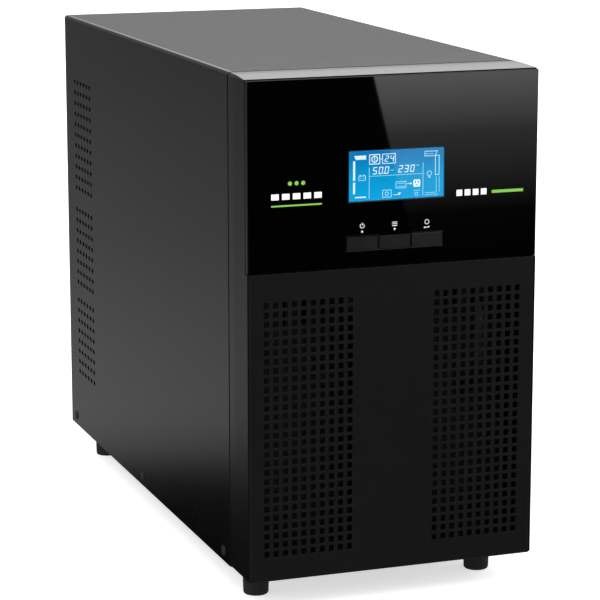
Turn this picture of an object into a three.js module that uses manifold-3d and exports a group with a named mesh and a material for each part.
// Online tower uninterruptible power supply of the 3 kVA size class, as an assembly of separate pieces.
// Millimetres, +Z up. The front faces -Y and the origin is on the floor under the middle of the unit.
// Everything above the feet is modelled in case heights, where zero is the underside of the case.
import * as THREE from 'three';
import { mergeVertices } from 'three/addons/utils/BufferGeometryUtils.js';
import Module from 'manifold-3d';

const wasm = await Module();
wasm.setup();

// ---------------------------------------------------------------- driving dimensions
const WIDTH = 190;
const DEPTH = 421;
const CASE_HEIGHT = 310;
const FOOT_HEIGHT = 20;
const BEZEL_DEPTH = 36;
const SHEET = 1.2;
const GAP = 0.3;

const HALF_WIDTH = WIDTH / 2;
const FRONT = -DEPTH / 2;
const REAR = DEPTH / 2;
const CASE_FRONT = FRONT + BEZEL_DEPTH;

const COVER_HALF = HALF_WIDTH - 0.8;
const COVER_INNER = COVER_HALF - SHEET;
const CHASSIS_HALF = COVER_INNER - GAP - SHEET - GAP;
const CORNER = 2.5;

const BULKHEAD = CASE_FRONT + GAP;
const REAR_PLATE = REAR - 6;

// Vents in each side of the cover: columns counted back to front, rows in three groups.
const VENT_COLUMNS = 6;
const VENT_PITCH = 8.1;
const VENT_REAR = 184.5;
const VENT_WIDTH = 3.8;
const VENT_GROUPS = [[42.5, 101.7], [111.3, 170.1], [182.8, 265.2]];

const COVER_SCREWS = [-161.7, 19, 196.6];
const SCREW_HEIGHT = 7.4;
const CHASSIS_FLANGE = 24;
const PLATE_LOW = 1.8;
const PLATE_HIGH = CASE_HEIGHT - SHEET - 0.5;

const FOOT_X = 75.5;
const FOOT_Y = [-169, 180];

// Front panel, in case heights.
const SPLIT = 192.3;
const GLOSS_HALF = HALF_WIDTH - 0.8;
const GLOSS_TOP = CASE_HEIGHT - 1.8;
const GRILLE_HALF = HALF_WIDTH - 1.6;
const PANEL_FRONT = FRONT + 0.4;
const DISPLAY = { left: -29.5, right: 32.2, low: 233, high: 263.2 };
const BUTTON = { width: 19.6, height: 8.1, centre: 207.3, pitch: 21.1, travel: 1 };
const GRILLE = { columns: 10, pitch: 6, first: 28.3, hole: 3.4, top: 174.8, bottom: 15.6, bars: 3, bar: 3 };
const PANEL_BACK = PANEL_FRONT + 3.2;
const BEZEL_TAPER = { straight: 12.5, side: 0.7, topRear: 0.3, topFront: 1.5 };
const HOOK = { x: 87, rows: [150, 292], width: 3, height: 8 };
const BOARD_POSTS = { x: 66, rows: [206, 270] };
const DISPLAY_BOARD = { front: FRONT + 14.5, half: 70, low: 200, high: 276, switch: 3.8 };

// Batteries: six 12 V 9 Ah blocks on their backs, three deep in two layers.
const BATTERY = { width: 151, length: 94, height: 65, pitch: 100, first: -168.5 };
const BOX_HALF = 80;
const BOX_FLOOR = 2.1;
const BOX_REAR = 127.8;
const BOX_TOP = 134.9;
const BAY_HALF = 83;
const BAY_TOP = 139;
const LEAD_X = 62;
const LEAD_HOLE = 104;
const SOCKET_HEIGHT = 165;

const SHELF = 140;
const SHELF_LEG = 86;
const BOARD = 147.8;
const BOARD_THICK = 1.6;
const RIBBON = { half: 10, height: 232.4 };

const FAN = { size: 80, depth: 25, bore: 37.5, hub: 17, x: 43.5, z: 228, hole: 35.75 };

// ---------------------------------------------------------------- shapes
function block([x0, x1], [y0, y1], [z0, z1]) {
  const box = new THREE.BoxGeometry(x1 - x0, y1 - y0, z1 - z0);
  return box.translate((x0 + x1) / 2, (y0 + y1) / 2, (z0 + z1) / 2);
}

const AXES = {
  x: new THREE.Matrix4().makeBasis(
    new THREE.Vector3(0, 1, 0), new THREE.Vector3(0, 0, 1), new THREE.Vector3(1, 0, 0)),
  y: new THREE.Matrix4().makeBasis(
    new THREE.Vector3(1, 0, 0), new THREE.Vector3(0, 0, 1), new THREE.Vector3(0, -1, 0)),
  z: new THREE.Matrix4(),
};

function outlineOf(points) {
  return new THREE.Shape(points.map(([a, b]) => new THREE.Vector2(a, b)));
}

// An outline swept along one axis: (y, z) along x, (x, z) along y, (x, y) along z.
function prism(axis, outline, from, to, curveSegments = 4) {
  const shape = Array.isArray(outline) ? outlineOf(outline) : outline;
  const sweep = new THREE.ExtrudeGeometry(shape, { depth: to - from, bevelEnabled: false, curveSegments });
  sweep.applyMatrix4(AXES[axis]);
  if (axis === 'x') {
    return sweep.translate(from, 0, 0);
  }
  return axis === 'y' ? sweep.translate(0, to, 0) : sweep.translate(0, 0, from);
}

function rod(axis, radius, [from, to], [a, b], sides = 16) {
  const cylinder = new THREE.CylinderGeometry(radius, radius, to - from, sides);
  const middle = (from + to) / 2;
  if (axis === 'x') {
    return cylinder.rotateZ(-Math.PI / 2).translate(middle, a, b);
  }
  if (axis === 'y') {
    return cylinder.translate(a, middle, b);
  }
  return cylinder.rotateX(Math.PI / 2).translate(a, b, middle);
}

// A turned piece about z, from a profile of (radius, height) points.
function turned(profile, sides) {
  const points = profile.map(([radius, height]) => new THREE.Vector2(radius, height));
  return new THREE.LatheGeometry(points, sides).rotateX(Math.PI / 2);
}

function roundedRectangle([left, right], [low, high], radius) {
  const shape = new THREE.Shape();
  shape.absarc(right - radius, low + radius, radius, -Math.PI / 2, 0, false);
  shape.absarc(right - radius, high - radius, radius, 0, Math.PI / 2, false);
  shape.absarc(left + radius, high - radius, radius, Math.PI / 2, Math.PI, false);
  shape.absarc(left + radius, low + radius, radius, Math.PI, Math.PI * 1.5, false);
  return shape;
}

function around(centre, size) {
  return [centre - size / 2, centre + size / 2];
}

// ---------------------------------------------------------------- joining and cutting
function solidOf(geometry) {
  const bare = geometry.clone();
  bare.deleteAttribute('normal');
  bare.deleteAttribute('uv');
  const merged = mergeVertices(bare, 1e-4);
  const corners = [];
  for (let i = 0; i < merged.index.count; i += 3) {
    const triangle = [0, 1, 2].map((k) => merged.index.getX(i + k));
    if (new Set(triangle).size === 3) {
      corners.push(...triangle);
    }
  }
  return new wasm.Manifold(new wasm.Mesh({
    numProp: 3,
    vertProperties: new Float32Array(merged.attributes.position.array),
    triVerts: new Uint32Array(corners),
  }));
}

function geometryOf(solid) {
  const mesh = solid.getMesh();
  const geometry = new THREE.BufferGeometry();
  geometry.setAttribute('position', new THREE.BufferAttribute(mesh.vertProperties, 3));
  geometry.setIndex(new THREE.BufferAttribute(mesh.triVerts, 1));
  return geometry;
}

function join(...pieces) {
  return geometryOf(pieces.map(solidOf).reduce((all, piece) => all.add(piece)));
}

function cut(body, tools) {
  return geometryOf(tools.map(solidOf).reduce((rest, tool) => rest.subtract(tool), solidOf(body)));
}

function common(...pieces) {
  return geometryOf(pieces.map(solidOf).reduce((all, piece) => all.intersect(piece)));
}

// ---------------------------------------------------------------- materials
const COLOURS = {
  case_paint: [0x2e2e2d, 0.55, 0.3],
  chassis_paint: [0x1c1c1c, 0.55, 0.3],
  zinc_sheet: [0x9fa3a6, 0.4, 0.9],
  black_plastic: [0x161617, 0.6, 0],
  gloss_acrylic: [0x050506, 0.06, 0],
  rubber: [0x0b0b0b, 0.85, 0],
  screw_steel: [0x1c1c1c, 0.4, 0.8],
  display_blue: [0x0f8fd8, 0.2, 0],
  display_clear: [0xdfeefc, 0.05, 0],
  circuit_board: [0x1d5a33, 0.5, 0],
  heatsink_metal: [0xb9bdc2, 0.35, 0.9],
  battery_case: [0x26282b, 0.6, 0],
  guard_wire: [0xc6c9cc, 0.3, 1],
  ferrite: [0x3a3532, 0.7, 0],
  copper_wire: [0xa8622c, 0.35, 0.9],
  connector_plastic: [0x0e0e0f, 0.5, 0],
  lead_sheath: [0x0d0d0d, 0.5, 0],
  capacitor_sleeve: [0x14213f, 0.4, 0],
  ribbon_grey: [0x9a9a98, 0.6, 0],
};

function materialOf(kind) {
  const [color, roughness, metalness] = COLOURS[kind];
  return new THREE.MeshStandardMaterial({ color, roughness, metalness });
}

function piece(name, geometry, kind, x = 0, y = 0, z = 0) {
  const mesh = new THREE.Mesh(geometry, materialOf(kind));
  mesh.name = name;
  mesh.position.set(x, y, z);
  return mesh;
}

// ---------------------------------------------------------------- sheet metal
function coverOutline() {
  const inner = CORNER - SHEET;
  const top = CASE_HEIGHT;
  const shape = new THREE.Shape();
  shape.moveTo(COVER_HALF, GAP);
  shape.absarc(COVER_HALF - CORNER, top - CORNER, CORNER, 0, Math.PI / 2, false);
  shape.absarc(-COVER_HALF + CORNER, top - CORNER, CORNER, Math.PI / 2, Math.PI, false);
  shape.lineTo(-COVER_HALF, GAP);
  shape.lineTo(-COVER_INNER, GAP);
  shape.absarc(-COVER_HALF + CORNER, top - CORNER, inner, Math.PI, Math.PI / 2, true);
  shape.absarc(COVER_HALF - CORNER, top - CORNER, inner, Math.PI / 2, 0, true);
  shape.lineTo(COVER_INNER, GAP);
  return shape;
}

function screwHoles() {
  return COVER_SCREWS.flatMap((y) => [-1, 1].map((side) => {
    const span = side > 0 ? [CHASSIS_HALF - 2, HALF_WIDTH] : [-HALF_WIDTH, 2 - CHASSIS_HALF];
    return rod('x', 2, span, [y, SCREW_HEIGHT], 10);
  }));
}

function outerCover() {
  const shell = prism('y', coverOutline(), CASE_FRONT, REAR);
  const slots = [];
  for (const side of [-1, 1]) {
    for (let column = 0; column < VENT_COLUMNS; column += 1) {
      const y = VENT_REAR - column * VENT_PITCH;
      for (const group of VENT_GROUPS) {
        slots.push(block(around(side * COVER_HALF, 6), around(y, VENT_WIDTH), group));
      }
    }
  }
  return cut(shell, [...slots, ...screwHoles()]);
}

function baseChassis() {
  const out = COVER_INNER - GAP;
  const high = CHASSIS_FLANGE;
  const trough = prism('y', [
    [-out, GAP], [out, GAP], [out, high], [out - SHEET, high],
    [out - SHEET, GAP + SHEET], [SHEET - out, GAP + SHEET], [SHEET - out, high], [-out, high],
  ], BULKHEAD, REAR_PLATE + 0.5);
  const rails = [-1, 1].map((side) => block(around(side * 82, SHEET), [-165, 120], [1, 12]));
  const studs = FOOT_Y.flatMap((y) => [-FOOT_X, FOOT_X].map((x) => rod('z', 3.5, [-1, 3], [x, y], 10)));
  const vents = [-60, -30, 0, 30, 60].map((x) => block(around(x, 16), [138, 146], [-1, 3]));
  return cut(join(trough, ...rails), [...studs, ...vents, ...screwHoles()]);
}

function frontBulkhead() {
  const back = BULKHEAD + SHEET;
  const upright = [PLATE_LOW, PLATE_HIGH];
  const plate = block([-CHASSIS_HALF, CHASSIS_HALF], [BULKHEAD, back], upright);
  const returns = [-1, 1].map((side) => block(
    around(side * (CHASSIS_HALF - SHEET / 2), SHEET), [BULKHEAD, BULKHEAD + 9], upright));
  const through = [BULKHEAD - 2, back + 2];
  const bay = block([-BAY_HALF, BAY_HALF], through, [0, BAY_TOP]);
  const ribbonSlot = block([-RIBBON.half - 3, RIBBON.half + 3], through, around(RIBBON.height + 0.6, 10));
  const socketHole = block(around(LEAD_X, 22), through, around(SOCKET_HEIGHT, 22));
  const latches = [-1, 1].flatMap((side) => HOOK.rows.map((z) => (
    block(around(side * HOOK.x, HOOK.width + 2), through, around(z, HOOK.height + 3)))));
  const vents = [-60, -45, -30, -15, 0, 15, 30].map((x) => block(around(x, 5), through, [152, 196]));
  return cut(join(plate, ...returns), [bay, ribbonSlot, socketHole, ...latches, ...vents]);
}

function midShelf() {
  const leg = SHELF_LEG;
  const low = PLATE_LOW;
  const front = BULKHEAD + 12;
  const bridge = prism('y', [
    [-leg - SHEET, low], [-leg, low], [-leg, SHELF], [leg, SHELF],
    [leg, low], [leg + SHEET, low], [leg + SHEET, SHELF + SHEET], [-leg - SHEET, SHELF + SHEET],
  ], front, 132);
  const standoffs = [-70, 70].flatMap((x) => [-140, -20, 110].map((y) => (
    rod('z', 3, [SHELF + 0.5, BOARD - GAP], [x, y], 6))));
  const windows = [-110, -35, 40].map((y) => block([-100, 100], [y, y + 50], [40, 110]));
  return join(cut(bridge, windows), ...standoffs);
}

function rearPanel() {
  const plate = [REAR_PLATE - SHEET, REAR_PLATE];
  const through = [REAR_PLATE - 4, REAR_PLATE + 2];
  const sheet = block([-CHASSIS_HALF, CHASSIS_HALF], plate, [PLATE_LOW, PLATE_HIGH]);
  const sides = [-1, 1].map((side) => block(
    around(side * (CHASSIS_HALF - SHEET / 2), SHEET), [REAR_PLATE - 12, REAR_PLATE],
    [CHASSIS_FLANGE + 2, PLATE_HIGH]));
  const openings = [
    rod('y', FAN.bore, through, [-FAN.x, FAN.z], 28),
    rod('y', FAN.bore, through, [FAN.x, FAN.z], 28),
    block([-82, 22], through, [278, 302]),
    block([36.5, 50.5], through, [273.6, 286.8]),
    block([61.5, 84.1], through, [276.1, 285.9]),
    block([39, 55], through, [291, 303]),
    block([-82.5, 42.5], through, [152.5, 175.5]),
    block([-82.5, 42.5], through, [118.5, 141.5]),
    block([52.5, 83.5], through, [151.5, 176.5]),
    rod('y', 6.8, through, [68, 128], 14),
    block([51.5, 84.5], through, [79.5, 96.5]),
    block([-70, -30], through, [38, 66]),
  ];
  const slots = [0, 12, 24, 36, 48, 60, 72].map((x) => block(around(x, 5), through, [24, 62]));
  return cut(join(sheet, ...sides), [...openings, ...slots]);
}

// ---------------------------------------------------------------- feet and screws
function foot() {
  return turned([
    [0, 0], [7.4, 0], [8, 0.7], [8.6, FOOT_HEIGHT - GAP], [3.2, FOOT_HEIGHT - GAP],
    [3, FOOT_HEIGHT + SHEET], [0, FOOT_HEIGHT + SHEET],
  ], 16);
}

// Pan-head screw pointing along +X, with the underside of its head at zero.
function coverScrew() {
  const shank = 7;
  const head = HALF_WIDTH - COVER_HALF - 0.1;
  const screw = turned([[0, -head], [2.8, -head], [3.4, 0], [1.7, 0], [1.7, shank], [0, shank]], 10);
  return screw.rotateY(Math.PI / 2);
}

// ---------------------------------------------------------------- front panel
// The moulded surround: straight for its rear third, then drawn in slightly to the front. It frames the
// grille, and ends behind the glossy panel, which covers its whole width.
function bezelFrame() {
  const back = CASE_FRONT - 1;
  const front = FRONT + 0.3;
  const bend = back - BEZEL_TAPER.straight;
  const narrow = HALF_WIDTH - BEZEL_TAPER.side;
  const top = CASE_HEIGHT;
  const outer = common(
    prism('y', roundedRectangle([-HALF_WIDTH, HALF_WIDTH], [0.5, top], 3), front, back, 4),
    prism('z', [
      [HALF_WIDTH, back], [-HALF_WIDTH, back], [-HALF_WIDTH, bend], [-narrow, front],
      [narrow, front], [HALF_WIDTH, bend],
    ], -10, top + 10),
    prism('x', [
      [back, -1], [back, top], [bend, top - BEZEL_TAPER.topRear], [front, top - BEZEL_TAPER.topFront],
      [front, -1],
    ], -HALF_WIDTH, HALF_WIDTH),
  );
  const wall = 2.4;
  const ledge = 85;
  const seat = PANEL_BACK + GAP;
  const ledgeBack = seat + 2.2;
  const tools = [
    block([wall - HALF_WIDTH, HALF_WIDTH - wall], [ledgeBack, back + 1], [0.5 + wall, top - wall - 1.5]),
    block([-ledge, ledge], [front - 1, back], [8, SPLIT - 8]),
    block([-ledge, ledge], [front - 1, back], [SPLIT + 4, top - 12]),
    block([-GRILLE_HALF - GAP, GRILLE_HALF + GAP], [front - 1, seat], [1.7, SPLIT + 1]),
    block([-HALF_WIDTH, HALF_WIDTH], [front - 1, seat], [SPLIT, top + 1]),
  ];
  const hooks = [-1, 1].flatMap((side) => HOOK.rows.map((z) => (
    block(around(side * HOOK.x, HOOK.width), [seat + 1, CASE_FRONT + 4.5], around(z, HOOK.height)))));
  const columns = [-BOARD_POSTS.x, BOARD_POSTS.x];
  const strips = columns.map((x) => block(around(x, 8), [seat + 0.2, ledgeBack], [SPLIT, top - 8]));
  const posts = columns.flatMap((x) => BOARD_POSTS.rows.map((z) => (
    rod('y', 3, [seat + 1, DISPLAY_BOARD.front - GAP], [x, z], 8))));
  return join(cut(outer, tools), ...hooks, ...strips, ...posts);
}

function buttonX(index) {
  return (index - 1) * BUTTON.pitch + 0.1;
}

function glossPanel() {
  const sheet = block([-GLOSS_HALF, GLOSS_HALF], [PANEL_FRONT, PANEL_BACK], [SPLIT + GAP, GLOSS_TOP]);
  const through = [PANEL_FRONT - 1, PANEL_BACK + 1];
  const window = block(
    [DISPLAY.left - GAP, DISPLAY.right + GAP], through, [DISPLAY.low - GAP, DISPLAY.high + GAP]);
  const keys = [0, 1, 2].map((index) => block(
    around(buttonX(index), BUTTON.width + 2 * GAP), through, around(BUTTON.centre, BUTTON.height + 2 * GAP)));
  return cut(sheet, [window, ...keys]);
}

function frontGrille() {
  const sheet = block([-GRILLE_HALF, GRILLE_HALF], [PANEL_FRONT + 0.2, PANEL_BACK], [2, SPLIT - GAP]);
  const through = [FRONT - 1, PANEL_BACK + 1];
  const slots = [];
  const run = (GRILLE.top - GRILLE.bottom) / GRILLE.bars;
  for (const side of [-1, 1]) {
    for (let column = 0; column < GRILLE.columns; column += 1) {
      const x = side * (GRILLE.first + column * GRILLE.pitch);
      for (let bar = 0; bar < GRILLE.bars; bar += 1) {
        const low = GRILLE.bottom + bar * run;
        slots.push(block(around(x, GRILLE.hole), through, [low, low + run - GRILLE.bar]));
      }
    }
  }
  return cut(sheet, slots);
}

function displayLens() {
  return block([DISPLAY.left, DISPLAY.right], [PANEL_FRONT, PANEL_FRONT + 2], [DISPLAY.low, DISPLAY.high]);
}

function displayModule() {
  const front = PANEL_BACK + 0.4;
  const { left, right, low, high } = DISPLAY;
  const can = block([left - 5, right + 5], [front, front + 7], [low - 6, high + 6]);
  const recess = block([left, right], [front - 1, front + 0.6], [low, high]);
  return cut(can, [recess]);
}

function displayBoard() {
  const { front, half, low, high } = DISPLAY_BOARD;
  const board = block([-half, half], [front, front + BOARD_THICK], [low, high]);
  const switches = [0, 1, 2].map((index) => block(
    around(buttonX(index), 6), [front - DISPLAY_BOARD.switch, front + 0.5], around(BUTTON.centre, 6)));
  const header = block(
    [-RIBBON.half - 2, RIBBON.half + 2], [front + 1, front + 6.5], around(RIBBON.height + 0.6, 7));
  return join(board, ...switches, header);
}

// Key cap with a retaining flange behind the panel and a plunger that reaches the switch.
function buttonCap() {
  const flangeFront = PANEL_BACK + GAP;
  const plungerBack = DISPLAY_BOARD.front - DISPLAY_BOARD.switch - BUTTON.travel - GAP;
  return join(
    block(around(0, BUTTON.width), [FRONT, flangeFront + 0.5], around(0, BUTTON.height)),
    block(around(0, BUTTON.width + 1.2), [flangeFront, flangeFront + 1], around(0, BUTTON.height + 3)),
    rod('y', 2, [flangeFront, plungerBack], [0, 0], 10),
  );
}

// ---------------------------------------------------------------- battery box
function batteryBox() {
  const plate = [CASE_FRONT - SHEET, CASE_FRONT];
  const inside = BOX_HALF - 1;
  const shell = cut(
    block([-BOX_HALF, BOX_HALF], [plate[0] + 0.2, BOX_REAR], [BOX_FLOOR, BOX_TOP]),
    [block([-inside, inside], [plate[1], BOX_REAR - 1], [BOX_FLOOR + 1, BOX_TOP + 1])],
  );
  const face = block([-BAY_HALF - 5, BAY_HALF + 5], plate, [4, BAY_TOP + 5]);
  const grip = CASE_FRONT - 14;
  const lip = block([-40, 40], [grip, plate[1]], [124, 124 + SHEET]);
  const fold = block([-40, 40], [grip, grip + SHEET], [119, 124.5]);
  const screws = [-1, 1].flatMap((side) => [20, 112].map((z) => (
    rod('y', 3.8, [plate[0] - 2.4, plate[1]], [side * 85.6, z], 12))));
  const leadHole = rod('y', 5, [plate[0] - 2, plate[1] + 2], [LEAD_X, LEAD_HOLE], 12);
  return cut(join(shell, face, lip, fold, ...screws), [leadHole]);
}

function batteryLid() {
  const thick = 1;
  const out = BOX_HALF + 0.4 + thick;
  const under = BOX_TOP + 0.4;
  const skirt = BOX_TOP - 8.9;
  return prism('y', [
    [-out, skirt], [thick - out, skirt], [thick - out, under], [out - thick, under],
    [out - thick, skirt], [out, skirt], [out, under + thick], [-out, under + thick],
  ], CASE_FRONT + 0.8, BOX_REAR);
}

// A battery lying on its back, terminals towards the front, with its front face at y zero.
function battery() {
  const body = block(around(0, BATTERY.width), [0, BATTERY.length], around(0, BATTERY.height));
  const groove = [-1, 1].map((side) => block(
    around(0, BATTERY.width + 2), [18, 20], side > 0 ? [31.5, 40] : [-40, -31.5]));
  const terminals = [-1, 1].map((side) => block(around(side * 66, 6.3), [-5, 1], around(22, 0.8)));
  return join(cut(body, groove), ...terminals);
}

// Two-core lead from the box, up to its plug in front of the socket on the bulkhead.
function batteryLead() {
  const run = [
    [1, LEAD_HOLE], [-5, LEAD_HOLE], [-14, 108], [-23, 122], [-27, 140], [-25, 157],
    [-18, SOCKET_HEIGHT], [-10, SOCKET_HEIGHT],
  ];
  const path = new THREE.CatmullRomCurve3(
    run.map(([forward, z]) => new THREE.Vector3(LEAD_X, CASE_FRONT + forward, z)));
  const section = new THREE.Shape().absarc(0, 0, 3.4, 0, Math.PI * 2, false);
  const tube = new THREE.ExtrudeGeometry(section, { extrudePath: path, steps: 18, curveSegments: 4 });
  const plug = block(around(LEAD_X, 18), [CASE_FRONT - 14, CASE_FRONT - 2.3], around(SOCKET_HEIGHT, 16));
  return join(tube, plug);
}

function batterySocket() {
  const flange = block(around(LEAD_X, 26), [CASE_FRONT - 2, CASE_FRONT], around(SOCKET_HEIGHT, 26));
  const body = block(around(LEAD_X, 20), [CASE_FRONT - 1, CASE_FRONT + 16], around(SOCKET_HEIGHT, 20));
  return join(flange, body);
}

// ---------------------------------------------------------------- power electronics
function mainBoard() {
  const high = BOARD + BOARD_THICK;
  const board = block([-82, 82], [-156, 128], [BOARD, high]);
  const relays = [-24, 0, 24].map((x) => block(around(x, 19), [-150, -121], [high - 0.5, high + 26]));
  const fuses = [-66, 66].map((x) => block(around(x, 11), [-152, -118], [high - 0.5, high + 12]));
  const terminals = block([-30, 34], [112, 126], [high - 0.5, high + 14]);
  return join(board, ...relays, ...fuses, terminals);
}

// Finned extrusion along y: an upright back and level fins on one side of it.
function heatsink(side) {
  const back = 4;
  const fins = 8;
  const fin = 2.2;
  const height = 60;
  const reach = 26;
  const outline = [[0, 0], [side * reach, 0]];
  const step = height / fins;
  for (let index = 0; index < fins; index += 1) {
    const low = index * step;
    outline.push([side * reach, low + fin], [side * back, low + fin]);
    if (index < fins - 1) {
      outline.push([side * back, low + step], [side * reach, low + step]);
    }
  }
  outline.push([side * back, height], [0, height]);
  return prism('y', side > 0 ? outline : outline.reverse(), -40, 108);
}

function capacitor() {
  return turned([[0, 0], [15.4, 0], [16, 1], [16, 47], [14.6, 50], [0, 50]], 20);
}

function choke() {
  const [bore, rim, height, edge] = [9, 23, 22, 3];
  return turned([
    [bore, edge], [bore + edge, 0], [rim - edge, 0], [rim, edge],
    [rim, height - edge], [rim - edge, height], [bore + edge, height], [bore, height - edge], [bore, edge],
  ], 18);
}

function transformer() {
  const core = block([-22, 22], [-21, 21], [0, 40]);
  const windows = [-1, 1].map((side) => block(around(side * 13, 9), [-30, 30], [9, 31]));
  const coil = block([-15, 15], [-27, 27], [8, 32]);
  return join(cut(core, windows), coil);
}

function controlBoard() {
  const board = block([-0.8, 0.8], [0, 150], [0, 70]);
  const chips = [[20, 20, 14, 14], [60, 30, 24, 24], [110, 24, 20, 12]].map(([y, z, long, tall]) => (
    block([0, 3.4], around(y, long), around(z, tall))));
  const header = block([-3, 3], [10, 140], [0, 6]);
  return join(board, ...chips, header);
}

function displayRibbon() {
  const start = DISPLAY_BOARD.front + 8;
  const level = RIBBON.height;
  const path = [
    [start, level], [-182, level], [-172, level + 1.2], [-163, 230], [-158, 220], [-157, 190], [-155.5, 152],
  ];
  const upper = path.map(([y, z]) => [y, z + 0.5]);
  const lower = path.map(([y, z]) => [y - 1, z - 0.5]).reverse();
  return prism('x', [...upper, ...lower], -RIBBON.half, RIBBON.half);
}

// ---------------------------------------------------------------- cooling fans
function fanFrame() {
  const half = FAN.size / 2;
  const frame = cut(
    prism('y', roundedRectangle([-half, half], [-half, half], 3), 0, FAN.depth, 2),
    [
      rod('y', FAN.bore + 0.5, [-1, FAN.depth + 1], [0, 0], 28),
      ...[-1, 1].flatMap((i) => [-1, 1].map((k) => (
        rod('y', 2.2, [-1, FAN.depth + 1], [i * FAN.hole, k * FAN.hole], 8)))),
    ],
  );
  const arms = [0, 1, 2, 3].map((index) => (
    block([10, FAN.bore + 1.5], [0, 2.4], around(0, 4)).rotateY(Math.PI / 4 + index * Math.PI / 2)));
  const seat = rod('y', FAN.hub, [0, 3], [0, 0], 20);
  const bearing = rod('y', 2.6, [-1, 4], [0, 0], 12);
  return cut(join(frame, ...arms, seat), [bearing]);
}

// Impeller about y: a closed hub, seven pitched blades and the stub of its shaft in the bearing.
function fanRotor() {
  const hub = rod('y', FAN.hub - 0.5, [4, 22], [0, 0], 20);
  const shaft = rod('y', 2, [0.6, 5], [0, 0], 10);
  const blades = [0, 1, 2, 3, 4, 5, 6].map((index) => {
    const blade = new THREE.BoxGeometry(FAN.bore - FAN.hub, 1.8, 17);
    blade.translate((FAN.bore + FAN.hub) / 2 - 2, 0, 0).rotateX(0.75).translate(0, 13, 0);
    return blade.rotateY(index * Math.PI * 2 / 7);
  });
  return join(hub, shaft, ...blades);
}

// Finger guard: square-wire rings on a cross of spokes, with an ear over each mounting hole.
function fanGuard() {
  const rings = [12, 24, 36].map((radius) => cut(
    rod('y', radius + 0.9, [0.8, 2.6], [0, 0], 24), [rod('y', radius - 0.9, [0, 4], [0, 0], 24)]));
  const reach = FAN.hole * Math.SQRT2 + 3;
  const spokes = [Math.PI / 4, -Math.PI / 4].map((turn) => (
    block([-reach, reach], [0, 1.6], around(0, 2.4)).rotateY(turn)));
  const ears = [-1, 1].flatMap((i) => [-1, 1].map((k) => (
    rod('y', 3.6, [0, 2.8], [i * FAN.hole, k * FAN.hole], 10))));
  return join(...spokes, ...rings, ...ears);
}

// ---------------------------------------------------------------- rear connectors
// Each is modelled about the middle of its panel hole, with y zero on the panel's outer face.
function shrouded(flange, body, depth, sockets) {
  const shell = join(
    block(around(0, flange[0]), [GAP, 2.3], around(0, flange[1])),
    block(around(0, body[0]), [-depth, 1], around(0, body[1])),
  );
  return sockets(shell);
}

function outletStrip() {
  return shrouded([130, 27], [124, 22], 24, (shell) => {
    const grooves = [-46.5, -15.5, 15.5, 46.5].map((x) => cut(
      block(around(x, 25), [-15, 4], around(0, 17)),
      [block(around(x, 18.4), [-16, 5], around(0, 10.6))],
    ));
    return cut(shell, grooves);
  });
}

function outletLarge() {
  return shrouded([36, 29], [30, 24], 26, (shell) => cut(shell, [cut(
    block(around(0, 27), [-17, 4], around(0, 20.6)),
    [block(around(0, 20.4), [-18, 5], around(0, 14))],
  )]));
}

function mainsInlet() {
  return shrouded([56, 31], [39, 27], 27, (shell) => {
    const hollow = cut(shell, [block(around(0, 31), [-18, 4], around(0, 21))]);
    const blades = [[-6.5, -3.5], [6.5, -3.5], [0, 4.5]].map(([x, z]) => (
      block(around(x, 6), [-19, -2], around(z, 2))));
    return join(hollow, ...blades);
  });
}

function breakerBody() {
  const neck = rod('y', 6.4, [-3, 3], [0, 0], 14);
  const nut = rod('y', 9.5, [GAP, 2], [0, 0], 6);
  const body = block(around(0, 15), [-34, -2], around(0, 30));
  const bore = rod('y', 4, [-9, 4], [0, 0], 14);
  return cut(join(neck, nut, body), [bore]);
}

function breakerButton() {
  return join(rod('y', 3.6, [-6, 5], [0, 0], 14), rod('y', 3.2, [4, 5.6], [0, 0], 14));
}

function surgePorts() {
  return shrouded([38, 20], [32, 16], 18, (shell) => cut(shell, [-8, 8].map((x) => (
    block(around(x, 11.8), [-13, 4], around(0, 9))))));
}

function portBoard() {
  const board = block([35, 88], [166, REAR_PLATE - SHEET - 0.5], [272.6, 274.2]);
  const usb = cut(
    block([37, 50], [186, REAR_PLATE + 1], [274, 286.3]), [block([39, 48], [192, 210], [276, 284.4])]);
  const serial = join(
    block([57, 88.6], [190, REAR_PLATE - SHEET - GAP], [274, 287.6]),
    block([62, 83.6], [200, REAR_PLATE + 4], [276.6, 285.4]),
  );
  return join(board, usb, serial);
}

function shutdownTerminal() {
  const body = block([39.5, 54.5], [190, REAR_PLATE + 4.5], [291.5, 302.5]);
  const wells = [43.5, 50.5].map((x) => block(around(x, 5), [198, 215], around(296, 6)));
  return cut(body, wells);
}

function slotCover() {
  const plate = block([-88, 28], [REAR_PLATE + GAP, REAR_PLATE + GAP + SHEET], [275, 305]);
  const heads = [-84.8, 24.8].map((x) => rod('y', 2.8, [REAR_PLATE + 1, REAR_PLATE + 3.4], [x, 290], 12));
  return join(plate, ...heads);
}

// ---------------------------------------------------------------- assembly
function chassisPieces() {
  const sheet = [
    piece('base_chassis', baseChassis(), 'chassis_paint'),
    piece('outer_cover', outerCover(), 'case_paint'),
    piece('front_bulkhead', frontBulkhead(), 'chassis_paint'),
    piece('mid_shelf', midShelf(), 'zinc_sheet'),
    piece('rear_panel', rearPanel(), 'case_paint'),
  ];
  const screwShape = coverScrew();
  const screws = [['left', -1], ['right', 1]].flatMap(([sideName, side]) => (
    COVER_SCREWS.map((y, index) => {
      const name = `cover_screw_${sideName}_${index + 1}`;
      const screw = piece(name, screwShape, 'screw_steel', side * (COVER_HALF + 0.1), y, SCREW_HEIGHT);
      screw.rotation.z = side > 0 ? Math.PI : 0;
      return screw;
    })));
  return [...sheet, ...screws];
}

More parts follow.
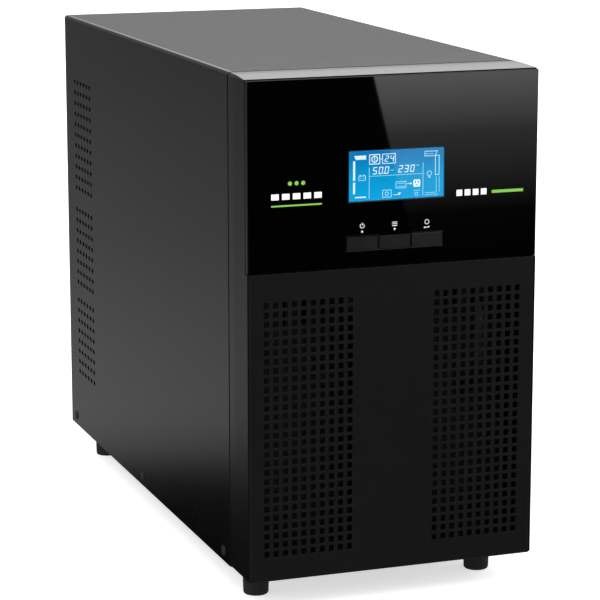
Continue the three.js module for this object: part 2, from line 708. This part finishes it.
function feet() {
  const shape = foot();
  return [['front', FOOT_Y[0]], ['rear', FOOT_Y[1]]].flatMap(([row, y]) => (
    [['left', -FOOT_X], ['right', FOOT_X]].map(([sideName, x]) => (
      piece(`foot_${row}_${sideName}`, shape, 'rubber', x, y, 0)))));
}

function frontPanelPieces() {
  const cap = buttonCap();
  const buttons = ['left', 'middle', 'right'].map((place, index) => (
    piece(`button_${place}`, cap, 'black_plastic', buttonX(index), 0, BUTTON.centre)));
  return [
    piece('bezel_frame', bezelFrame(), 'black_plastic'),
    piece('gloss_panel', glossPanel(), 'gloss_acrylic'),
    piece('front_grille', frontGrille(), 'black_plastic'),
    piece('display_lens', displayLens(), 'display_clear'),
    piece('display_module', displayModule(), 'display_blue'),
    piece('display_board', displayBoard(), 'circuit_board'),
    ...buttons,
  ];
}

function batteryPieces() {
  const shape = battery();
  const rows = [0, 1, 2].flatMap((row) => [0, 1].map((layer) => {
    const y = BATTERY.first + row * BATTERY.pitch;
    const z = 36.1 + layer * (BATTERY.height + 1);
    return piece(`battery_${row * 2 + layer + 1}`, shape, 'battery_case', 0, y, z);
  }));
  return [
    piece('battery_box', batteryBox(), 'chassis_paint'),
    piece('battery_box_lid', batteryLid(), 'zinc_sheet'),
    piece('battery_lead', batteryLead(), 'lead_sheath'),
    ...rows,
  ];
}

function electronicsPieces() {
  const top = BOARD + BOARD_THICK + GAP;
  const can = capacitor();
  const ring = choke();
  return [
    piece('main_board', mainBoard(), 'circuit_board'),
    piece('heatsink_left', heatsink(-1), 'heatsink_metal', -30, 0, top),
    piece('heatsink_right', heatsink(1), 'heatsink_metal', 30, 0, top),
    piece('bus_capacitor_front', can, 'capacitor_sleeve', 0, -60, top),
    piece('bus_capacitor_rear', can, 'capacitor_sleeve', 0, -18, top),
    piece('input_choke', ring, 'copper_wire', -36, -85, top),
    piece('output_choke', ring, 'copper_wire', 40, -85, top),
    piece('power_transformer', transformer(), 'ferrite', 0, 60, top),
    piece('control_board', controlBoard(), 'circuit_board', -76, -100, top),
    piece('display_ribbon', displayRibbon(), 'ribbon_grey'),
    piece('battery_socket', batterySocket(), 'connector_plastic'),
  ];
}

function rearPieces() {
  const frame = fanFrame();
  const rotor = fanRotor();
  const guard = fanGuard();
  const strip = outletStrip();
  const fans = [['left', -FAN.x], ['right', FAN.x]].flatMap(([sideName, x]) => [
    piece(`fan_frame_${sideName}`, frame, 'black_plastic', x, REAR_PLATE - SHEET - GAP - FAN.depth, FAN.z),
    piece(`fan_rotor_${sideName}`, rotor, 'black_plastic', x, REAR_PLATE - SHEET - GAP - FAN.depth, FAN.z),
    piece(`fan_guard_${sideName}`, guard, 'guard_wire', x, REAR_PLATE + GAP, FAN.z),
  ]);
  return [
    ...fans,
    piece('mains_inlet', mainsInlet(), 'connector_plastic', -50, REAR_PLATE, 52),
    piece('outlet_strip_upper', strip, 'connector_plastic', -20, REAR_PLATE, 164),
    piece('outlet_strip_lower', strip, 'connector_plastic', -20, REAR_PLATE, 130),
    piece('outlet_large', outletLarge(), 'connector_plastic', 68, REAR_PLATE, 164),
    piece('breaker_body', breakerBody(), 'connector_plastic', 68, REAR_PLATE, 128),
    piece('breaker_button', breakerButton(), 'black_plastic', 68, REAR_PLATE, 128),
    piece('surge_ports', surgePorts(), 'connector_plastic', 68, REAR_PLATE, 88),
    piece('port_board', portBoard(), 'circuit_board'),
    piece('shutdown_terminal', shutdownTerminal(), 'connector_plastic'),
    piece('slot_cover', slotCover(), 'case_paint'),
  ];
}

const unit = new THREE.Group();
const caseGroup = new THREE.Group();
caseGroup.position.z = FOOT_HEIGHT;
caseGroup.add(
  ...chassisPieces(),
  ...frontPanelPieces(),
  ...batteryPieces(),
  ...electronicsPieces(),
  ...rearPieces(),
);
unit.add(caseGroup, ...feet());

export default unit;
